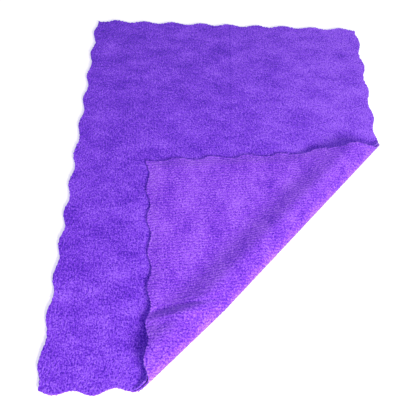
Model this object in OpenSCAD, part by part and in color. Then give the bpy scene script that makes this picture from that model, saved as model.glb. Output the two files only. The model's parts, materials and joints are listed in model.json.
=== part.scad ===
// Quick dry towel: a thin double-sided pile cloth with a scalloped, heat-sealed edge.
// It lies flat on its back pile with one corner turned over on a soft round fold.
// The corner lays flat again: the cloth bends along a chain of narrow strips, each one hinged
// to the next at the level of its knitted ground, because the ground neither stretches nor shrinks.
// Origin: centre of the cut rectangle, on the surface that the towel lies on. +Z is up.

/* [Cloth] */
// Width of the cloth over its scallops
cloth_w = 300; // [280:5:330]
// Length of the cloth over its scallops
cloth_l = 400; // [380:5:440]
// Thickness of the cloth from pile tip to pile tip
cloth_t = 4; // [3:0.5:5]
// Thickness of the knitted ground between the two piles
ground_t = 0.8; // [0.6:0.1:1.2]

/* [Scalloped edge] */
// Number of scallop crests along the top, right, bottom and left side
crests = [9, 11, 9, 12]; // [7:1:14]
// From each side's first corner to its first crest, going clockwise
first_crest = [22, 21, 31, 20]; // [12:1:34]
// From each side's last crest to its last corner, going clockwise
last_crest = [20, 27, 12, 19]; // [12:1:34]
// Height of the scallop wave from notch to crest
scallop_h = 3.6; // [2.4:0.2:4.4]
// Radius that softens the corners
corner_r = 2.5; // [1:0.5:6]
// Width of the heat-sealed rim
seal_w = 1.2; // [0.8:0.2:2]
// How far the pile stays back from the cut edge
pile_setback = 0.3; // [0.2:0.1:0.6]

/* [Turned corner] */
// Direction of the fold line from the short side
fold_angle = 47.5; // [45:0.5:50]
// Distance of the fold line from the centre of the cloth
fold_offset = 81; // [74:0.5:90]
// Width of each narrow strip of the round fold
bend_w = 4.5; // [4.3:0.1:5]
// Width of the crown, the broad top of the round fold
crown_w = 13; // [11:0.5:15]
// Angle at which the crown still rises, going away from the fold
crown_rise = 10; // [8:1:12]
// Angle at which the cloth slopes down from the crown
slope_angle = 25; // [22:1:28]
// Gap between the turned corner and the cloth below
lay_gap = 0.3; // [0.2:0.1:0.5]
// Gap between two neighbouring strips at their hinge
hinge_gap = 0.3; // [0.2:0.1:0.4]

/* [Hidden] */

// The cloth's sections in order, from the lying part over the fold to the turned corner
SECTIONS = ["lying", "bend_1", "bend_2", "bend_3", "crown", "slope", "corner"];
last = len(SECTIONS) - 1;
crown = 4;
far = cloth_w + cloth_l;

// Heights from the middle of the cloth
half_t = cloth_t / 2;
half_ground = ground_t / 2;

// The cut: the scallops swing about a middle rectangle
wave_h = scallop_h / 2;
middle = [cloth_w - scallop_h, cloth_l - scallop_h];
points_per_crest = 12;
past_corner = 12;

// The fold: all but the crown's rise of a half turn is shared out over the bends up to the crown
bend_angle = (180 - crown_rise) / crown;
function rise(n) = n < 1 ? 0 : rise(n - 1) + bend_w * sin(n * bend_angle);
slope_drop = rise(crown - 1) + crown_w * sin(crown_rise) - cloth_t - lay_gap;
slope_w = slope_drop / sin(slope_angle);

// Hinge n lies between sections n - 1 and n, measured from the cloth's centre across the fold
function hinge_at(n) =
    fold_offset + bend_w * (min(n, crown) - 1) + (n > crown ? crown_w : 0) + (n == last ? slope_w : 0);
function bend_at(n) =
    n < 1 || n > last ? 0
    : n <= crown ? bend_angle
    : n < last ? crown_rise + slope_angle
    : -slope_angle;
function start_of(s) = s < 1 ? -far : hinge_at(s);
function end_of(s) = s < last ? hinge_at(s + 1) : far;

// One side of the cut: its wave at a distance s from its first corner, going clockwise
function along(i) = [cos(-90 * i), sin(-90 * i)];
function outward(i) = [-along(i)[1], along(i)[0]];
function side_len(i) = middle[i % 2];
function side_off(i) = middle[(i + 1) % 2] / 2;
function pitch(i) = (side_len(i) - first_crest[i] - last_crest[i]) / (crests[i] - 1);
function wave(i, s) = side_off(i) + wave_h * cos(360 * (s - first_crest[i]) / pitch(i));

// Everything on the inner side of one side's wave
module inside_wave(i) {
    steps = ceil((side_len(i) + 2 * past_corner) * points_per_crest / pitch(i));
    polygon(concat(
        [
            for (n = [0 : steps])
                let (s = -past_corner + (side_len(i) + 2 * past_corner) * n / steps)
                    along(i) * (s - side_len(i) / 2) + outward(i) * wave(i, s)
        ],
        [far * (along(i) - outward(i)), -far * (along(i) + outward(i))]
    ));
}

// The cut: four waves that meet at softened corners, moved inwards by inset
module cut(inset) {
    offset(delta = -inset)
        offset(r = corner_r, $fn = 24)
            offset(delta = -corner_r)
                intersection_for(i = [0 : 3]) inside_wave(i);
}

// Carries children from the cloth's own axes to axes with Y across the fold, and back
module across_fold() {
    rotate([0, 0, 180 - fold_angle]) children();
}

module from_fold() {
    rotate([0, 0, fold_angle - 180]) children();
}

// Folds a flat section over the hinges 1 to n, the nearest to the lying part last
module folded(n) {
    if (n < 1) {
        children();
    } else {
        folded(n - 1)
            translate([0, hinge_at(n), half_t])
                rotate([bend_at(n), 0, 0])
                    translate([0, -hinge_at(n), -half_t])
                        children();
    }
}

// How far a section's end stays back from its hinge, at a height from the middle of the cloth:
// the cloth's inner side is cut on a slant, so that the sections don't meet when they fold
function set_back(height, bend) = hinge_gap / 2 + max(0, height * tan(bend / 2));

// The space between two heights that section s takes across the fold
module section_space(s, low, high) {
    across = [
        [start_of(s) + set_back(low, bend_at(s)), low],
        [end_of(s) - set_back(low, bend_at(s + 1)), low],
        [end_of(s) - set_back(high, bend_at(s + 1)), high],
        [start_of(s) + set_back(high, bend_at(s)), high]
    ];
    translate([0, 0, half_t])
        rotate([90, 0, 90])
            linear_extrude(height = 2 * far, center = true)
                polygon(across);
}

// One layer of section s in its folded place: the children give the layer's cut shape
module layer(s, low, high) {
    from_fold()
        folded(s)
            intersection() {
                section_space(s, low, high);
                across_fold()
                    translate([0, 0, half_t + low])
                        linear_extrude(height = high - low)
                            children();
            }
}

// The knitted ground that holds both piles
module ground_knit(s) {
    color("#5b33b8")
        layer(s, -half_ground, half_ground)
            cut(seal_w);
}

// The front pile: up on the lying part, underneath on the turned corner
module front_pile(s) {
    color("#7a44dc")
        layer(s, half_ground, half_t)
            cut(pile_setback);
}

// The back pile: underneath on the lying part, up on the turned corner
module back_pile(s) {
    color("#9459ee")
        layer(s, -half_t, -half_ground)
            cut(pile_setback);
}

// The rim of the ground, sealed by heat where the cloth was cut
module sealed_edge(s) {
    color("#4a2aa0")
        layer(s, -half_ground, half_ground)
            difference() {
                cut(0);
                cut(seal_w);
            }
}

for (s = [0 : last]) {
    ground_knit(s);
    front_pile(s);
    back_pile(s);
    sealed_edge(s);
}
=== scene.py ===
"""Quick dry towel: a double-sided pile cloth with a scalloped edge and one corner turned over.

The cloth is meshed flat, as it was cut, then every point is carried over the fold along the
middle line of the CAD hinges. Lengths are metres. On the flat cloth, x and y are measured from its
centre, and d across the fold; on the folded cloth, along and across are measured the same way.
"""

import json
import math

import bmesh
import bpy
import numpy as np
from mathutils import Matrix, Vector, geometry

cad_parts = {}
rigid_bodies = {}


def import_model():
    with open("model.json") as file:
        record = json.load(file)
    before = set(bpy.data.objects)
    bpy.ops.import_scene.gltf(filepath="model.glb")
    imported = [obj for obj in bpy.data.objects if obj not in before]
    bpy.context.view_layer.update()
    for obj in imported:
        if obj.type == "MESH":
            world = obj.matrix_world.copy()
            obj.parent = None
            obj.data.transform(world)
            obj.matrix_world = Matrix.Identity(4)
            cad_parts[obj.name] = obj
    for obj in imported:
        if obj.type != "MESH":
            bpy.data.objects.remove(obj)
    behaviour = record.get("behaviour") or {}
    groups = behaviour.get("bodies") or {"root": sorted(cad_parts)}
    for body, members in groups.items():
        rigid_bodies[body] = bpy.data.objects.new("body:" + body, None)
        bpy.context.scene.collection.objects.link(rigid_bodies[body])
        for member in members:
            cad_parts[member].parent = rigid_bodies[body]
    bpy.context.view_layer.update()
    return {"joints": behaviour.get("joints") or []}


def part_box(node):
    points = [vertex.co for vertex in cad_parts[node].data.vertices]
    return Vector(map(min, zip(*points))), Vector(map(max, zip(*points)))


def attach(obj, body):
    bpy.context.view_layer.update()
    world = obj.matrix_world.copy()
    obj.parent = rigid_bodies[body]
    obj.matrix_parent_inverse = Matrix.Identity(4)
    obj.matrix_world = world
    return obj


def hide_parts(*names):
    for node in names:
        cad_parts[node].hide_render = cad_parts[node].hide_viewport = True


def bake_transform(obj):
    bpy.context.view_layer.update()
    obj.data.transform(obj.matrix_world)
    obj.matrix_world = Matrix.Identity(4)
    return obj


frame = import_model()

MM = 0.001
TURN = 2 * math.pi
UP = Vector((0, 0, 1))

# ---------------------------------------------------------------- sizes taken from the frame
edge_low, edge_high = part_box("lying_sealed_edge")
HALF_W = (edge_high.x - edge_low.x) / 2
HALF_L = (edge_high.y - edge_low.y) / 2
CLOTH_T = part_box("lying_front_pile")[1].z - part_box("lying_back_pile")[0].z
ground_low, ground_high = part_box("lying_ground_knit")
HALF_GROUND = (ground_high.z - ground_low.z) / 2
PILE_T = CLOTH_T / 2 - HALF_GROUND

# The chain of hinges: along the fold, across it towards the corner, and the bend at each hinge
JOINTS = frame["joints"]
ALONG = Vector(JOINTS[0]["axis"])
ACROSS = ALONG.cross(UP)
BODIES = [JOINTS[0]["parent"]] + [j["child"] for j in JOINTS]
HINGES = [Vector(j["pos_m"]) for j in JOINTS]
BENDS = [math.radians(j["range_deg"][1]) * round(Vector(j["axis"]).dot(ALONG)) for j in JOINTS]
HINGE_D = [HINGES[0].dot(ACROSS)]
for near, further in zip(HINGES, HINGES[1:]):
    HINGE_D.append(HINGE_D[-1] + (further - near).length)

# Half the length of cloth that bends at each hinge: short round the fold, long where it settles
ROUND_REACH, SHOULDER_REACH, SETTLE_REACH = 1.6 * MM, 4.6 * MM, 8 * MM
BEND_REACH = [ROUND_REACH] * (len(JOINTS) - 2) + [SHOULDER_REACH, SETTLE_REACH]
HALF_STRIP = (HINGE_D[1] - HINGE_D[0]) / 2
FOLD_START = HINGE_D[0]
CROWN_END, SETTLE = HINGE_D[-2:]

# The cuts across the fold into visual sections: each one between the first and the last section
# bends round one hinge
SHOULDER_END, SLOPE_END = CROWN_END + 5.5 * MM, SETTLE + 9 * MM
SEAMS = [d - HALF_STRIP for d in HINGE_D[:-2]]
SEAMS += [HINGE_D[-3] + HALF_STRIP, SHOULDER_END, SLOPE_END]
SECTIONS = ["lying", "bend_1", "bend_2", "bend_3", "crown", "shoulder", "slope", "corner"]
BENDING = range(1, len(SECTIONS) - 1)

# The CAD nodes that each layer of a section stands for
STANDS_FOR = {
    "front": ["front_pile"], "back": ["back_pile"], "ground": ["ground_knit", "sealed_edge"]}

# ---------------------------------------------------------------- the cut
# As in the CAD: the number of each side's crests, and the places in mm of the first and the last
# one from the side's corners
CRESTS = {"top": (9, 22, 20), "right": (11, 21, 27), "bottom": (9, 31, 12), "left": (12, 20, 19)}
WAVE = 1.8 * MM
CORNER_R = 2.5 * MM
SCALLOP_REACH = 20 * MM

# The crests stray a little from their even pitch: by chance, and on the left side in two long
# swings that get smaller on the way up
STRAY, STRAY_LENGTH = 2 * MM, 50 * MM
SWING, SWING_LOSS = 8.5 * MM, 0.018
SWING_PEAK, SWING_LENGTH = 87 * MM, 203 * MM

# The mesh: its steps across and along the cloth, and its closer lines beside the edge
LYING_STEPS = (0.70 * MM, 1.35 * MM)
TURNED_STEPS = (0.55 * MM, 1.0 * MM)
RIM_LINES = np.array([0, 0.3, 0.7, 1.2, 1.8, 2.5]) * MM
MERGE = 0.02 * MM

# A section with at least this many triangles gets a coarse lining, with points this far apart
MANY_TRIANGLES = 40000
LINING_STEP = 6 * MM

# ---------------------------------------------------------------- where the cloth leaves its path
# A pair called FADE_IN or FADE_OUT gives the places across the fold where a thing is at nothing
# and where it is at its full size.
SETTLED = CROWN_END + 55 * MM

# Long low swells: their size on the flat cloth, and their heights on the two flat parts
SWELL_SIZE = (45 * MM, 60 * MM)
SWELL_SEED = 5
LYING_SWELL, LYING_SWELL_FADE_OUT = 0.5 * MM, (FOLD_START - 4 * MM, FOLD_START - 24 * MM)
TURNED_SWELL, TURNED_SWELL_FADE_IN = 0.4 * MM, (CROWN_END, SETTLED)

# The turned corner's two lifted edges: how high, how far in from the edge, and from where to where
# across the fold
RIGHT_LIFT = {"height": 2.5 * MM, "reach": 40 * MM, "start": 100 * MM, "end": 152 * MM}
BOTTOM_LIFT = {"height": 1.1 * MM, "reach": 35 * MM, "start": CROWN_END, "end": SETTLED}

# The crease on the turned corner: a point that it runs through, along and across the fold, the
# direction that it faces, and its size; and the puff below it, which is lower at the very edge
CREASE_AT = (-95 * MM, 81 * MM)
CREASE_FACING = (-0.57, 0.82)
CREASE_FADE_IN, CREASE_FADE_OUT = (92 * MM, 112 * MM), (152 * MM, 127 * MM)
CREASE_DEPTH, CREASE_WIDTH = 1.1 * MM, 2.2 * MM
PUFF_HEIGHT, PUFF_WIDTH, PUFF_FROM_CREASE = 2.2 * MM, 4.8 * MM, 7.5 * MM
PUFF_EDGE, PUFF_EDGE_LOSS = 12 * MM, 0.35

# How deep the turned corner's edge sinks into the pile under it, and how far in from the edge
SINK_DEPTH, SINK_REACH = 1.8 * MM, 13 * MM
SINK_FADE_IN = (CROWN_END + 6 * MM, CROWN_END + 36 * MM)

# Towards its lower end the fold turns inwards: from this place along it, at this slope, softly
TURN_IN_AT = -104 * MM
TURN_IN = 0.054
TURN_IN_SOFT = 6 * MM
TURN_IN_FADE_IN, TURN_IN_FADE_OUT = (55 * MM, 77 * MM), (190 * MM, 140 * MM)

# ---------------------------------------------------------------- the pile
# Its rows, and the sizes across and along them of what breaks them up
ROW_PITCH = 2.6 * MM
WANDER_SIZE, WANDER_FINE = (7 * MM, 9 * MM), (3 * MM, 4 * MM)
LEAN, LEAN_SIZE = 0.9 * MM, (4 * MM, 6 * MM)
CLUMP_SIZE = (1.3 * MM, 1.9 * MM)
FIBRE_SIZE = (0.9 * MM, 1.3 * MM)
FACES = {
    "front": {"side": 1, "seed": 11, "rows": 0.16, "wander": 1.3 * MM, "depth": 0.52},
    "back": {"side": -1, "seed": 47, "rows": 0.36, "wander": 1.1 * MM, "depth": 0.42},
}

# Its edge: how far in it is rounded, how far in the lip goes and then fades, how far the pile's foot
# stays inside, and how far the lip stands out from there where the tufts are high
ROUNDING, LIP, LIP_FADE = 1.6 * MM, 0.9 * MM, 3 * MM
FOOT_INSET, LIP_OUT = 0.7 * MM, 1.1 * MM

# The ground between the piles: a gap to their undersides, its inset at the edge, its sealed rim,
# and how much of its thickness is left to keep it clear of both piles
PILE_GAP = 0.1 * MM
GROUND_INSET, SEAL_W = 0.8 * MM, 1.2 * MM
GROUND_SHARE = 0.96

# The faint pressed line down the middle of the front, where the tufts are lower and so get painted
# shade, and the places on it where it starts and where it is at its full depth
PRESSED_AT, PRESSED_WIDTH, PRESSED_FADE_IN = 2 * MM, 1 * MM, (20 * MM, 80 * MM)


# ---------------------------------------------------------------- noise and curves
def noise(x, y, size, seed):
    """Smooth gradient noise, about -1 to 1, on a lattice with size as its spacing in x and y."""
    x, y = x / size[0], y / size[1]
    xi, yi = np.floor(x).astype(np.int64), np.floor(y).astype(np.int64)
    fx, fy = x - xi, y - yi

    def pull(i, j):
        # a slope at the lattice point, in a direction that is scrambled from its numbers
        h = ((xi + i) * 73856093 ^ (yi + j) * 19349663 ^ seed * 83492791) & 0xFFFFFFFF
        h = (h ^ (h >> 13)) * 1274126177 & 0xFFFFFFFF
        angle = (h ^ (h >> 16)) * (TURN / 2**32)
        return np.cos(angle) * (fx - i) + np.sin(angle) * (fy - j)

    sx, sy = ease(fx), ease(fy)
    low = pull(0, 0) * (1 - sx) + pull(1, 0) * sx
    high = pull(0, 1) * (1 - sx) + pull(1, 1) * sx
    return 1.5 * (low * (1 - sy) + high * sy)


def ease(t, start=0, end=1):
    """0 to 1 as t goes from start to end, whichever is greater, with no slope at either."""
    t = np.clip((t - start) / (end - start), 0, 1)
    return t * t * (3 - 2 * t)


def hump(t, start, end):
    """0 to 1 and back to 0 as t goes from start to end."""
    return np.sin(math.pi * np.clip((t - start) / (end - start), 0, 1)) ** 2


def bell(t, width):
    """1 where t is 0, and next to nothing at twice the width to either side."""
    return np.exp(-(t / width) ** 2)


# ---------------------------------------------------------------- the flat cut
def scallop(side, s):
    """How far the cut stays inside its crest line, s clockwise from the side's first corner."""
    crests, first, last = CRESTS[side]
    length = 2 * (HALF_L if side in ("left", "right") else HALF_W) - 2 * WAVE
    pitch = (length - (first + last) * MM) / (crests - 1)
    if side == "left":
        s = s - (SWING - SWING_LOSS * s) * (0.5 + 0.5 * np.cos(TURN * (s - SWING_PEAK) / SWING_LENGTH))
    else:
        s = s - STRAY * noise(s, 0 * s + STRAY_LENGTH / 2, (STRAY_LENGTH, STRAY_LENGTH), len(side))
    return WAVE * (1 - np.cos(TURN * (s - first * MM) / pitch))


def cut_point(u, v):
    """Where the grid point u, v of the crest rectangle lies on the cut cloth, how far it is from
    the edge, and which way is out."""
    from_x, from_y = HALF_W - np.abs(u), HALF_L - np.abs(v)
    su, sv = np.sign(u), np.sign(v)
    # the grid's square corners are pressed into quarter discs
    p, q = np.clip(1 - from_x / CORNER_R, 0, 1), np.clip(1 - from_y / CORNER_R, 0, 1)
    round_x, round_y = p * np.sqrt(1 - q * q / 2), q * np.sqrt(1 - p * p / 2)
    x = su * np.where(p > 0, HALF_W - CORNER_R + CORNER_R * round_x, np.abs(u))
    y = sv * np.where(q > 0, HALF_L - CORNER_R + CORNER_R * round_y, np.abs(v))
    half_w, half_l = HALF_W - WAVE, HALF_L - WAVE
    inset_x = np.where(su > 0, scallop("right", half_l - y), scallop("left", y + half_l))
    inset_y = np.where(sv > 0, scallop("top", x + half_w), scallop("bottom", half_w - x))
    reach_x = np.clip(1 - from_x / SCALLOP_REACH, 0, 1) ** 2
    reach_y = np.clip(1 - from_y / SCALLOP_REACH, 0, 1) ** 2
    cut_x, cut_y = x - su * inset_x * reach_x, y - sv * inset_y * reach_y
    radius = np.hypot(round_x, round_y)
    in_corner = (p > 0) & (q > 0)
    rim = np.where(in_corner, CORNER_R * (1 - radius), np.minimum(from_x, from_y))
    radius = np.maximum(radius, 1e-6)
    out_x = np.where(in_corner, su * round_x / radius, np.where(from_x < from_y, su, 0))
    out_y = np.where(in_corner, sv * round_y / radius, np.where(from_x < from_y, 0, sv))
    return cut_x, cut_y, np.maximum(rim, 0), out_x, out_y


def grid_lines(half, step):
    """Grid lines from -half to half, step apart, and closer together along the rim."""
    inner = half - RIM_LINES[-1] - step
    middle = np.linspace(-inner, inner, round(2 * inner / step) + 1)
    return np.concatenate([RIM_LINES - half, middle, half - RIM_LINES[::-1]])


def flat_cloth(step_x, step_y):
    """The whole cut as a flat triangle mesh that has an edge along every seam."""
    u, v = np.meshgrid(grid_lines(HALF_W, step_x), grid_lines(HALF_L, step_y))
    rows, columns = u.shape
    x, y, rim, out_x, out_y = cut_point(u.ravel(), v.ravel())
    first = (np.arange(rows - 1)[:, None] * columns + np.arange(columns - 1)).ravel()
    quads = np.stack([first, first + 1, first + columns + 1, first + columns], 1)
    mesh = bpy.data.meshes.new("flat")
    mesh.vertices.add(len(x))
    mesh.vertices.foreach_set("co", np.stack([x, y, 0 * x], 1).ravel())
    mesh.loops.add(quads.size)
    mesh.loops.foreach_set("vertex_index", quads.ravel())
    mesh.polygons.add(len(quads))
    mesh.polygons.foreach_set("loop_start", np.arange(len(quads)) * 4)
    mesh.update(calc_edges=True)
    for name, value in (("rim", rim), ("out_x", out_x), ("out_y", out_y)):
        mesh.attributes.new(name, "FLOAT", "POINT").data.foreach_set("value", value)
    bm = bmesh.new()
    bm.from_mesh(mesh)
    for at, normal in [(seam, ACROSS) for seam in SEAMS] + [(TURN_IN_AT, ALONG)]:
        everything = bm.verts[:] + bm.edges[:] + bm.faces[:]
        bmesh.ops.bisect_plane(
            bm, geom=everything, dist=MERGE, plane_co=normal * at, plane_no=normal)
    bmesh.ops.triangulate(bm, faces=bm.faces[:])
    bm.to_mesh(mesh)
    bm.free()
    co = read(mesh.vertices, "co", 3)
    tris = read(mesh.polygons, "vertices", 3, np.int32)
    cloth = {"xy": co[:, :2], "tris": tris}
    for name in ("rim", "out_x", "out_y"):
        cloth[name] = read(mesh.attributes[name].data, "value", 1).ravel()
    centre = cloth["xy"][tris].mean(1)
    cloth["section"] = np.searchsorted(SEAMS, centre @ np.array(ACROSS.xy))
    cloth["end"] = centre @ np.array(ALONG.xy) < TURN_IN_AT
    bpy.data.meshes.remove(mesh)
    return cloth


def read(collection, name, width, kind=np.float32):
    """One row of values for each item of a mesh's collection."""
    values = np.empty(len(collection) * width, kind)
    collection.foreach_get(name, values)
    values = values.reshape(-1, width)
    return values.astype(float) if kind == np.float32 else values


# ---------------------------------------------------------------- the fold
def fold_path():
    """The cloth's middle line over the fold: flat distance, place across, height and direction.
    At each hinge the line turns evenly, at a pace that ends it where the CAD's sharp bend would."""
    step = 0.05 * MM
    reach = HALF_W + HALF_L
    flat = np.arange(-reach, reach, step)
    direction, pace = 0 * flat, 1 + 0 * flat
    for hinge, bend, half in zip(HINGE_D, BENDS, BEND_REACH):
        share = np.clip((flat - hinge + half) / (2 * half), 0, 1)
        direction += bend * share
        inside = (share > 0) & (share < 1)
        pace[inside] = (bend / 2) / math.tan(bend / 2)
    across = -reach + np.cumsum(np.cos(direction) * pace) * step - step
    height = HINGES[0].z + np.cumsum(np.sin(direction) * pace) * step
    return flat, across, height, direction


PATH = fold_path()


def fold_distance(x, y):
    """How far a place on the flat cloth is across the fold."""
    return x * ACROSS.x + y * ACROSS.y


def on_path(d):
    """Place across, height and direction of the middle line at a flat distance."""
    return [np.interp(d, PATH[0], values) for values in PATH[1:]]


def lifted(x, y, d):
    """How much the turned corner's right and bottom edge are lifted, from 0 to 1."""
    return [ease(inward, lift["reach"], 0) * hump(d, lift["start"], lift["end"])
            for inward, lift in ((HALF_W - x, RIGHT_LIFT), (HALF_L + y, BOTTOM_LIFT))]


def stand_off(x, y, d, along, across):
    """How far the cloth stands off its plain path, towards its front: it never lies quite flat."""
    swell = 0.5 + 0.5 * noise(x, y, SWELL_SIZE, SWELL_SEED)
    lying = LYING_SWELL * swell * ease(d, *LYING_SWELL_FADE_OUT)
    # the turned corner's two edges stay up for a while after they leave the fold, and a crease
    # runs from where the fold turns in to the corner's edge, with the cloth puffed up below it
    right, bottom = lifted(x, y, d)
    below = CREASE_FACING[0] * (along - CREASE_AT[0]) + CREASE_FACING[1] * (across - CREASE_AT[1])
    crossing = ease(d, *CREASE_FADE_IN) * ease(d, *CREASE_FADE_OUT)
    puff = PUFF_HEIGHT * bell(below - PUFF_FROM_CREASE, PUFF_WIDTH) * crossing
    puff = puff * (1 - PUFF_EDGE_LOSS * ease(HALF_L + y, PUFF_EDGE, 0))
    crease = CREASE_DEPTH * bell(below, CREASE_WIDTH) * crossing
    edges = np.maximum(RIGHT_LIFT["height"] * right, BOTTOM_LIFT["height"] * bottom)
    turned = np.maximum(edges, puff) - crease
    turned = turned + TURNED_SWELL * swell * ease(d, *TURNED_SWELL_FADE_IN)
    return np.where(d < FOLD_START, lying, -turned)


def sunk(x, y, d, rim):
    """How deep the turned corner's own edge settles: the pile under it is pressed flat there."""
    resting = ease(d, *SINK_FADE_IN) * (1 - np.maximum(*lifted(x, y, d)))
    return SINK_DEPTH * ease(rim, SINK_REACH, 0) * resting


def turn_in(along, d):
    """How far the fold and the cloth beside it are drawn in towards the cloth's middle."""
    beyond = TURN_IN_AT - along
    beyond = (beyond + np.sqrt(beyond**2 + TURN_IN_SOFT**2)) / 2
    return -TURN_IN * beyond * ease(d, *TURN_IN_FADE_IN) * ease(d, *TURN_IN_FADE_OUT)


def place(x, y, offset, rim):
    """The flat points x, y at a height above the ground's middle, carried over the fold."""
    d = fold_distance(x, y)
    along = x * ALONG.x + y * ALONG.y
    across, height, direction = on_path(d)
    offset = offset + stand_off(x, y, d, along, across) + sunk(x, y, d, rim)
    across = across - np.sin(direction) * offset + turn_in(along, d)
    height = height + np.cos(direction) * offset
    return np.stack([
        along * ALONG.x + across * ACROSS.x, along * ALONG.y + across * ACROSS.y, height], 1)


# ---------------------------------------------------------------- the pile
def tufts(x, y, look):
    """Height of the pile, 0 between the tufts to 1 at their tips: faint rows, broken into clumps."""
    seed = look["seed"]
    wander = noise(x, y, WANDER_SIZE, seed) + 0.5 * noise(x, y, WANDER_FINE, seed + 1)
    across = x + look["wander"] * wander
    along = y + LEAN * noise(x, y, LEAN_SIZE, seed + 4)
    rows = 0.5 + 0.5 * np.cos(TURN * across / ROW_PITCH)
    clumps = 0.5 + 0.8 * noise(across, along, CLUMP_SIZE, seed + 2)
    fine = 0.06 + 0.22 * noise(x, y, FIBRE_SIZE, seed + 3)
    return np.clip(rows * look["rows"] + clumps * (1 - look["rows"]) + fine, 0, 1)


def pile_surface(cloth, look):
    """The outer surface of one pile: its points, and its tufts' heights from 0 to 1."""
    x, y = cloth["xy"].T
    rim = cloth["rim"]
    height = tufts(x, y, look)
    if look["side"] > 0:
        # the pressed line lowers the tufts and, through their height, gets painted shade in the pile's
        # colour
        pressed = bell(x - PRESSED_AT, PRESSED_WIDTH) * ease(y, *PRESSED_FADE_IN)
        height = height * (1 - 0.5 * pressed)
    rounding = np.sqrt(1 - (1 - np.clip(rim / ROUNDING, 0, 1)) ** 2)
    lip = np.sin(np.clip(rim / LIP, 0, 1) * math.pi / 2)
    overhang = (LIP_OUT * lip * (0.3 + height) - FOOT_INSET) * ease(rim, LIP + LIP_FADE, LIP)
    pile = (PILE_T - PILE_GAP) * rounding * (1 - look["depth"] * (1 - height))
    if look["side"] > 0:
        # the pile gives way by as much as the turned corner's edge sinks
        pile = np.maximum(pile - sunk(x, y, fold_distance(x, y), rim), 0)
    points = place(
        x + cloth["out_x"] * overhang, y + cloth["out_y"] * overhang,
        look["side"] * (HALF_GROUND + PILE_GAP + pile), rim)
    return points, height


def smooth_normals(points, tris):
    """Vertex normals, by the area of the faces round each vertex."""
    a, b, c = (points[tris[:, k]] for k in range(3))
    normal = np.cross(b - a, c - a)
    total = np.zeros_like(points)
    for k in range(3):
        for axis in range(3):
            total[:, axis] += np.bincount(tris[:, k], normal[:, axis], len(points))
    return total / np.maximum(np.linalg.norm(total, axis=1, keepdims=True), 1e-12)


# ---------------------------------------------------------------- closed pieces
def outline_of(tris):
    """The directed edges that only one triangle uses."""
    edges = np.concatenate([tris[:, [0, 1]], tris[:, [1, 2]], tris[:, [2, 0]]])
    ordered = np.sort(edges, axis=1)
    _, index, uses = np.unique(ordered, axis=0, return_index=True, return_counts=True)
    return edges[index[uses == 1]]


def loop_of(edges):
    """The vertices of a closed outline, in order."""
    following = dict(edges.tolist())
    start = int(edges[0, 0])
    loop = [start]
    while following[loop[-1]] != start:
        loop.append(following[loop[-1]])
    return loop


def lining_of(xy, tris, section):
    """A coarse flat mesh of a section inside its own outline, for surfaces that nobody sees.
    Returns its points, its triangles, and for each outline point of the section its own number."""
    if len(tris) < MANY_TRIANGLES:
        return xy, tris, np.arange(len(xy))
    loop = loop_of(outline_of(tris))
    gap = LINING_STEP
    gx, gy = np.meshgrid(np.arange(-HALF_W + gap, HALF_W - gap / 2, gap),
                         np.arange(-HALF_L + gap, HALF_L - gap / 2, gap))
    inside = np.stack([gx.ravel(), gy.ravel()], 1)
    d = inside @ np.array(ACROSS.xy)
    low = SEAMS[section - 1] if section else -1
    high = SEAMS[section] if section < len(SEAMS) else 1
    inside = inside[(d > low + gap / 2) & (d < high - gap / 2)]
    points = [Vector(p) for p in np.concatenate([xy[loop], inside]).tolist()]
    # it gives the points, edges and faces, and for each new point the given ones that it came from
    made = geometry.delaunay_2d_cdt(points, [], [list(range(len(loop)))], 1, 1e-7, True)
    number = np.full(len(xy), -1)
    for new, sources in enumerate(made[3]):
        for source in sources:
            if source < len(loop):
                number[loop[source]] = new
    lining_xy, lining_tris = np.array([p[:] for p in made[0]]), np.array(made[2])
    return lining_xy, lining_tris[within(xy[loop], lining_xy[lining_tris].mean(1))], number


def within(outline, points):
    """Which points lie inside a closed outline: a ray from each crosses it an odd number of times."""
    inside = np.zeros(len(points), bool)
    for (ax, ay), (bx, by) in zip(outline, np.roll(outline, -1, axis=0)):
        if ay != by:
            spans = (ay > points[:, 1]) != (by > points[:, 1])
            inside ^= spans & (points[:, 0] < ax + (bx - ax) * (points[:, 1] - ay) / (by - ay))
    return inside


def closed_piece(name, outer, inner, partner, side, values):
    """A closed mesh: an outer surface, an inner one and a wall between their outlines. Each
    surface is its points, their normals, its triangles and its points' places on the flat cloth;
    partner gives the inner point under each outer one, and values a number for every point."""
    top, top_normals, tris, xy = outer
    bottom, bottom_normals, bottom_tris, bottom_xy = inner
    edges = outline_of(tris)
    count = len(top)
    below = partner[edges] + count
    wall = np.concatenate([
        np.stack([edges[:, 1], edges[:, 0], below[:, 0]], 1),
        np.stack([edges[:, 1], below[:, 0], below[:, 1]], 1)])
    faces = np.concatenate([tris, bottom_tris[:, ::-1] + count, wall])
    if side < 0:
        faces = faces[:, ::-1]
    mesh = bpy.data.meshes.new(name)
    points = np.concatenate([top, bottom])
    mesh.vertices.add(len(points))
    mesh.vertices.foreach_set("co", points.astype(np.float32).ravel())
    mesh.loops.add(faces.size)
    mesh.loops.foreach_set("vertex_index", faces.astype(np.int32).ravel())
    mesh.polygons.add(len(faces))
    mesh.polygons.foreach_set("loop_start", np.arange(len(faces), dtype=np.int32) * 3)
    mesh.polygons.foreach_set("use_smooth", np.ones(len(faces), bool))
    mesh.update(calc_edges=True)
    for key, (above, under) in values.items():
        both = np.concatenate([above, np.full(len(bottom), under)]).astype(np.float32)
        mesh.attributes.new(key, "FLOAT", "POINT").data.foreach_set("value", both)
    flat = np.concatenate([xy, bottom_xy])[faces.ravel()]
    mesh.uv_layers.new(name="cloth").data.foreach_set("uv", flat.astype(np.float32).ravel())
    mesh.validate()
    mesh.normals_split_custom_set_from_vertices(
        np.concatenate([top_normals, bottom_normals]).tolist())
    piece = bpy.data.objects.new(name, mesh)
    bpy.context.scene.collection.objects.link(piece)
    return piece


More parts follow.
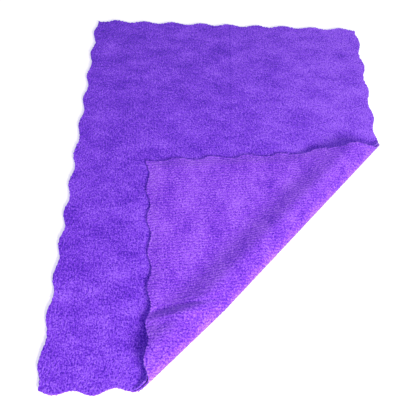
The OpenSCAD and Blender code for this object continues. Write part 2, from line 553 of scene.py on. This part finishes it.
# ---------------------------------------------------------------- materials
class Nodes:
    """A short way to write a node material: each call adds one node and returns its output."""

    def __init__(self, name):
        self.material = bpy.data.materials.new(name)
        self.material.use_nodes = True
        self.tree = self.material.node_tree
        self.tree.nodes.clear()
        self.uv = self.add("ShaderNodeUVMap", uv_map="cloth").outputs["UV"]

    def fill(self, socket, value):
        """Links the socket to a value that is a node's output, or else sets it."""
        if isinstance(value, bpy.types.NodeSocket):
            self.tree.links.new(value, socket)
        else:
            socket.default_value = value

    def add(self, kind, inputs=None, **settings):
        node = self.tree.nodes.new(kind)
        for key, value in settings.items():
            setattr(node, key, value)
        for key, value in (inputs or {}).items():
            self.fill(node.inputs[key], value)
        return node

    def attribute(self, name):
        return self.add("ShaderNodeAttribute", attribute_name=name).outputs["Fac"]

    def stretched(self, x, y):
        """Places on the flat cloth, times x and y."""
        return self.add("ShaderNodeMapping", {"Vector": self.uv, "Scale": (x, y, 1)}).outputs[0]

    def noise(self, size, detail=2.0, stretch=(1, 1)):
        """Noise whose features are about size across, in metres."""
        vector = self.stretched(stretch[0] / size, stretch[1] / size)
        return self.add("ShaderNodeTexNoise", {
            "Vector": vector, "Scale": 1.0, "Detail": detail, "Roughness": 0.6}).outputs["Fac"]

    def math(self, operation, a, b=0.0):
        node = self.add("ShaderNodeMath", operation=operation)
        for socket, value in zip(node.inputs, (a, b)):
            self.fill(socket, value)
        return node.outputs[0]

    def weighted(self, base, *terms):
        """A base value plus each other value times its weight."""
        for value, weight in terms:
            base = self.math("ADD", self.math("MULTIPLY", value, weight), base)
        return base

    def ramp(self, factor, stops):
        """A colour for each factor, between stops that are a place and a colour."""
        node = self.add("ShaderNodeValToRGB", {"Fac": factor})
        elements = node.color_ramp.elements
        while len(elements) < len(stops):
            elements.new(0.5)
        for element, (place_at, colour) in zip(elements, stops):
            element.position = place_at
            element.color = (*colour, 1)
        return node.outputs["Color"]

    def mix(self, factor, a, b):
        """The colour between colours a and b."""
        node = self.add("ShaderNodeMix", {0: factor, 6: a, 7: b}, data_type="RGBA")
        return node.outputs[2]

    def surface(self, **inputs):
        """Ends the material with a shader that has these inputs, and returns the material."""
        shader = self.add("ShaderNodeBsdfPrincipled", {
            key.replace("_", " "): value for key, value in inputs.items()})
        output = self.add("ShaderNodeOutputMaterial")
        self.tree.links.new(shader.outputs[0], output.inputs["Surface"])
        return self.material


def pile_material(name, light_gradient_weight, between, low, body, tip):
    """Cut microfibre pile with loose fibre ends: painted shade between the tufts and a painted
    highlight at their tips, both from the tufts' height. A painted light gradient makes it lighter
    towards the cloth's right and lower sides, the side the lamp is on."""
    n = Nodes(name)
    height = n.attribute("tuft")
    fibres = n.noise(0.5 * MM, 2.0, (1.0, 0.6))
    specks = n.noise(1.1 * MM, 2.0, (1.0, 0.8))
    patches = n.noise(24 * MM, 3.0, (0.8, 1.3))
    streaks = n.noise(8 * MM, 2.0, (0.8, 1.2))
    # painted light: the pile is drawn lighter towards the cloth's right and lower sides, the side the
    # lamp is on
    across, along = n.add(
        "ShaderNodeSeparateXYZ", {"Vector": n.stretched(1 / HALF_W, 1 / HALF_L)}).outputs[:2]
    painted_light_gradient = n.weighted(0.0, (across, 0.06), (n.math("MAXIMUM", across, 0.0), 0.10), (along, -0.06))
    # the tufts' height paints shade between the tufts and a highlight at their tips
    # each noise is 0.5 in the middle, so the base takes most of that off again
    shade = n.weighted(-1.98, (height, 0.5), (fibres, 1.3), (specks, 2.0), (patches, 0.85),
                       (streaks, 0.35), (painted_light_gradient, light_gradient_weight))
    colour = n.ramp(shade, [(0.10, between), (0.38, low), (0.62, body), (0.95, tip)])
    rough = n.weighted(0.6, (fibres, 0.3), (height, 0.1))
    relief = n.weighted(0.0, (fibres, 0.5), (specks, 1.0))
    bump = n.add("ShaderNodeBump", {"Height": relief, "Strength": 0.6, "Distance": 0.8 * MM})
    return n.surface(
        Base_Color=colour, Roughness=rough, Normal=bump.outputs[0], Sheen_Weight=0.4,
        Sheen_Roughness=0.5, Sheen_Tint=(0.82, 0.58, 0.95, 1), Specular_IOR_Level=0.1,
        # a faint blue painted glow stands in for the light that comes back from deep between the
        # fibres
        Emission_Color=(0.05, 0.0, 1.0, 1), Emission_Strength=0.04)


def ground_material():
    """The knitted ground, fused to a smoother, harder rim where it was cut."""
    n = Nodes("ground_knit")
    stitch = 0.9 * MM
    loops = n.add("ShaderNodeTexWave", {
        "Vector": n.stretched(1 / stitch, 1 / stitch), "Scale": 1.0,
        "Distortion": 1.5}, wave_type="BANDS").outputs["Fac"]
    knit = n.ramp(n.weighted(0.0, (loops, 0.6), (n.noise(0.5 * MM), 0.4)),
                  [(0.2, (0.10, 0.03, 0.45)), (0.8, (0.20, 0.07, 0.70))])
    sealed = n.ramp(n.noise(1.2 * MM), [(0.3, (0.14, 0.04, 0.60)), (0.7, (0.22, 0.07, 0.76))])
    colour = n.mix(n.attribute("sealed"), knit, sealed)
    rough = n.math("SUBTRACT", 0.9, n.math("MULTIPLY", n.attribute("sealed"), 0.25))
    bump = n.add("ShaderNodeBump", {"Height": loops, "Strength": 0.4, "Distance": 0.2 * MM})
    return n.surface(
        Base_Color=colour, Roughness=rough, Normal=bump.outputs[0], Specular_IOR_Level=0.25)


MATERIALS = {
    # the front gets the painted light gradient, the back none
    "front": pile_material(
        "front_pile", light_gradient_weight=1.0, between=(0.040, 0.004, 0.36), low=(0.12, 0.019, 0.59),
        body=(0.21, 0.052, 0.79), tip=(0.36, 0.15, 0.95)),
    "back": pile_material(
        "back_pile", light_gradient_weight=0.0, between=(0.065, 0.009, 0.46), low=(0.17, 0.030, 0.65),
        body=(0.275, 0.073, 0.82), tip=(0.42, 0.175, 0.94)),
    "ground": ground_material(),
}


# ---------------------------------------------------------------- the sections of the cloth
def bodies_of(section):
    """The two bodies that a section bends between, or its only one twice."""
    if section == 0:
        return BODIES[0], BODIES[0]
    if section == len(SECTIONS) - 1:
        return BODIES[-1], BODIES[-1]
    return BODIES[section - 1], BODIES[section]


def path_point(d):
    """The middle line's point at a flat distance, halfway along the fold."""
    across, height, _ = (float(v) for v in on_path(d))
    return ACROSS * across + UP * height


def hold(piece, section, layer, turned_in):
    """Rides a piece with its only body; a piece between two bodies stays where it is built. Puts it in
    place of its CAD nodes.
    """
    before, after = bodies_of(section)
    if before == after:
        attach(piece, before)
    else:
        hinge, half = HINGE_D[section - 1], BEND_REACH[section - 1]
        start, end = path_point(hinge - half), path_point(hinge + half)
        if turned_in:
            # the bend runs along the fold's own direction here
            slant = TURN_IN * (end - start).normalized().dot(ACROSS)
            start += ALONG * TURN_IN_AT
            end += ALONG * TURN_IN_AT
            leaning = (end - start) - ALONG * slant * (end - start).length
            end = start + leaning / (1 + slant**2)
        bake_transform(piece)
    if SECTIONS[section] in BODIES:
        for kind in STANDS_FOR[layer]:
            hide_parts(f"{SECTIONS[section]}_{kind}")


def build_section(cloth, surfaces, section, turned_in, name):
    """Front pile, back pile and ground of one section, as closed pieces, and its flat area."""
    mine = cloth["section"] == section
    if section in BENDING:
        mine &= cloth["end"] == turned_in
    used, local = np.unique(cloth["tris"][mine], return_inverse=True)
    tris = local.reshape(-1, 3)
    xy, rim = cloth["xy"][used], cloth["rim"][used]
    flat, flat_tris, partner = lining_of(xy, tris, section)
    paired = partner >= 0
    flat_rim = np.minimum(HALF_W - np.abs(flat[:, 0]), HALF_L - np.abs(flat[:, 1]))
    flat_rim[partner[paired]] = rim[paired]
    sealed = np.zeros(len(flat))
    sealed[partner[paired]] = rim[paired] < SEAL_W
    # the ground ends a little inside the pile's tips
    outwards = np.stack([cloth["out_x"][used], cloth["out_y"][used]], 1)
    inset = GROUND_INSET * outwards * np.clip(1 - rim / LIP, 0, 1)[:, None]
    drawn_in = flat.copy()
    drawn_in[partner[paired]] -= inset[paired]
    direction = on_path(flat @ np.array(ACROSS.xy))[2][:, None]
    normal = np.cos(direction) * np.array(UP) - np.sin(direction) * np.array(ACROSS)
    made = {}
    for layer, look in FACES.items():
        side = look["side"]
        points, height, normals = surfaces[layer]
        inner = place(*drawn_in.T, side * HALF_GROUND, flat_rim)
        made[layer] = closed_piece(
            f"{name}_{layer}", (points[used], normals[used], tris, xy),
            (inner, -side * normal, flat_tris, flat), partner, side, {"tuft": (height[used], 0.0)})
    half = HALF_GROUND * GROUND_SHARE
    over, under = (place(*drawn_in.T, side * half, flat_rim) for side in (1, -1))
    made["ground"] = closed_piece(
        f"{name}_ground", (over, normal, flat_tris, flat), (under, -normal, flat_tris, flat),
        np.arange(len(flat)), 1, {"sealed": (sealed, 1.0)})
    for layer, piece in made.items():
        piece.data.materials.append(MATERIALS[layer])
        hold(piece, section, layer, turned_in)
    a, b, c = (xy[tris[:, k]] for k in range(3))
    return made, float(np.abs(np.cross(b - a, c - a)).sum() / 2)


def build(cloth, chosen):
    """Every chosen section. One that bends comes in two lengths, along the fold and along its
    turned-in end."""
    surfaces = {}
    for layer, look in FACES.items():
        points, height = pile_surface(cloth, look)
        surfaces[layer] = points, height, smooth_normals(points, cloth["tris"]) * look["side"]
    made = []
    for section in chosen:
        ends = (False, True) if section in BENDING else (False,)
        for turned_in in ends:
            name = SECTIONS[section] + ("_end" if turned_in else "")
            made.append((name, *build_section(cloth, surfaces, section, turned_in, name)))
    return made


built = build(flat_cloth(*LYING_STEPS), [0])
built += build(flat_cloth(*TURNED_STEPS), range(1, len(SECTIONS)))


# ---------------------------------------------------------------- stage, light and camera
def make_floor():
    """A plain pale floor."""
    bpy.ops.mesh.primitive_plane_add(size=6)
    floor = bpy.context.object
    floor.name = "floor"
    n = Nodes("floor")
    tone = n.ramp(n.noise(0.4), [(0.3, (0.93, 0.93, 0.93)), (0.7, (0.95, 0.95, 0.95))])
    floor.data.materials.append(n.surface(
        Base_Color=tone, Roughness=0.9, Emission_Color=(1, 1, 1, 1), Emission_Strength=0.3))
    return floor


def area_light(name, towards, distance, size, power, colour):
    """A soft lamp that looks at the towel's middle from a direction."""
    data = bpy.data.lights.new(name, "AREA")
    data.shape = "DISK"
    data.size = size
    data.energy = power
    data.color = colour
    lamp = bpy.data.objects.new(name, data)
    bpy.context.scene.collection.objects.link(lamp)
    direction = Vector(towards).normalized()
    lamp.location = direction * distance
    lamp.rotation_euler = direction.to_track_quat("Z", "Y").to_euler()


def make_world(colour, strength):
    """The even light of a pale studio."""
    world = bpy.data.worlds.new("studio")
    world.use_nodes = True
    background = world.node_tree.nodes["Background"]
    background.inputs["Color"].default_value = (*colour, 1)
    background.inputs["Strength"].default_value = strength
    bpy.context.scene.world = world


def make_camera(at, yaw, pitch, roll, lens):
    """The viewpoint: close above the near edge, looking down over the cloth. Angles in degrees."""
    data = bpy.data.cameras.new("camera")
    data.sensor_width = 36
    data.lens = lens
    data.clip_start = 0.01
    camera = bpy.data.objects.new("camera", data)
    camera.matrix_world = (
        Matrix.Translation(at) @ Matrix.Rotation(math.radians(yaw), 4, "Z")
        @ Matrix.Rotation(math.radians(pitch), 4, "X") @ Matrix.Rotation(math.radians(roll), 4, "Z"))
    bpy.context.scene.collection.objects.link(camera)
    bpy.context.scene.camera = camera


floor = make_floor()
make_world(colour=(0.86, 0.84, 1.0), strength=0.66)
area_light(
    "key", towards=(0.47, -0.86, 0.66), distance=0.95, size=0.36, power=9.4,
    colour=(0.98, 0.93, 0.80))
make_camera(at=(-0.0318, -0.2389, 0.3850), yaw=-3.33, pitch=27.74, roll=4.37, lens=40.99)
bpy.context.scene.view_settings.view_transform = "Standard"
